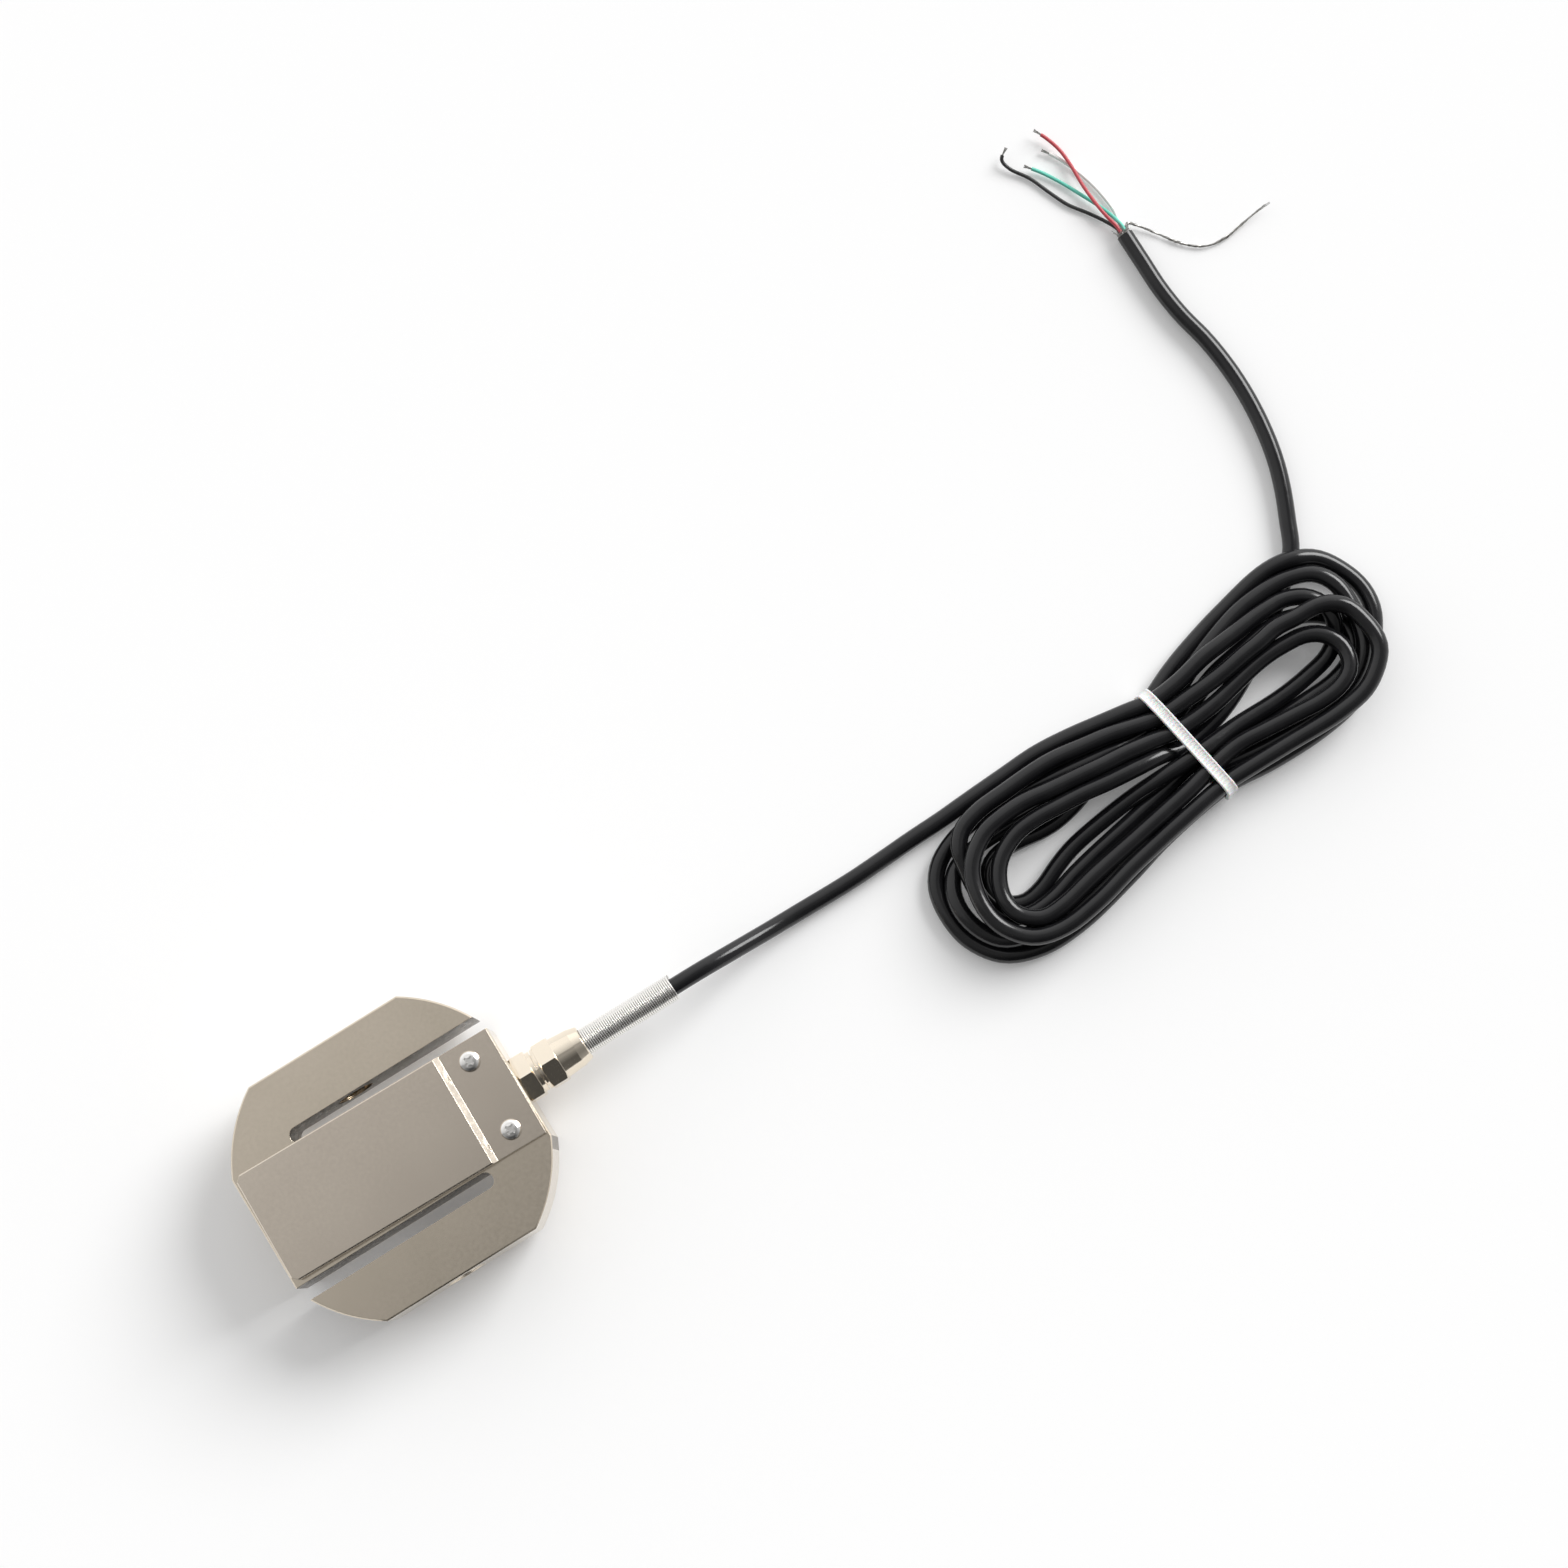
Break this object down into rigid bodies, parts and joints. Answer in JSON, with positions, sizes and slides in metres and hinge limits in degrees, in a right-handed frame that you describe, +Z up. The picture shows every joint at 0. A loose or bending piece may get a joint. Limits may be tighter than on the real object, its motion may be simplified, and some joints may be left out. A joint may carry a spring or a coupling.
{
  "type": "s-type load cell",
  "caption": "S-shaped load cell body with threaded holes in both load faces, bolted covers, a cable gland with a spring guard and a tied hank of cable with bare wire ends.",
  "frame": {"origin": "on the supporting surface, below the crossing of the load axis and the cable axis", "axes": "+Y along the load axis, +X out along the cable, +Z up through the covers"},
  "size_m": [0.4013, 0.2088, 0.0294],
  "materials": {
    "plated_steel": "polished nickel plate on alloy steel",
    "plated_brass": "bright nickel plate on brass",
    "bright_steel": "bright",
    "seal_rubber": "matt",
    "gauge_film": "amber film",
    "board": "green laminate",
    "tinned": "tinned",
    "chip": "matt",
    "enamelled_copper": "enamelled",
    "core_red": "smooth",
    "core_green": "smooth",
    "core_white": "smooth",
    "core_black": "smooth",
    "cable_jacket": "smooth black jacket",
    "nylon": "natural nylon"
  },
  "bodies": {
    "root": {"s_body": "plated_steel", "front_cover": "plated_steel", "back_cover": "plated_steel", "front_gasket": "seal_rubber", "back_gasket": "seal_rubber", "front_screws": "bright_steel", "back_screws": "bright_steel", "gauge_upper_left": "gauge_film", "gauge_upper_right": "gauge_film", "gauge_lower_left": "gauge_film", "gauge_lower_right": "gauge_film", "terminal_board": "board", "solder_joints": "tinned", "trim_resistors": "chip", "gauge_wires": "enamelled_copper", "board_lead_red": "core_red", "board_lead_green": "core_green", "board_lead_white": "core_white", "board_lead_black": "core_black", "gland_body": "plated_brass", "gland_seal": "seal_rubber", "gland_grommet": "seal_rubber", "gland_nut": "plated_brass", "spring_guard": "bright_steel", "cable_entry": "cable_jacket", "cable_lead": "cable_jacket", "cable_hank": "cable_jacket", "cable_tail": "cable_jacket", "cable_tie": "nylon", "shield_end": "tinned", "core_red": "core_red", "core_green": "core_green", "core_white": "core_white", "core_black": "core_black", "drain_wire": "tinned"}
  },
  "joints": []
}
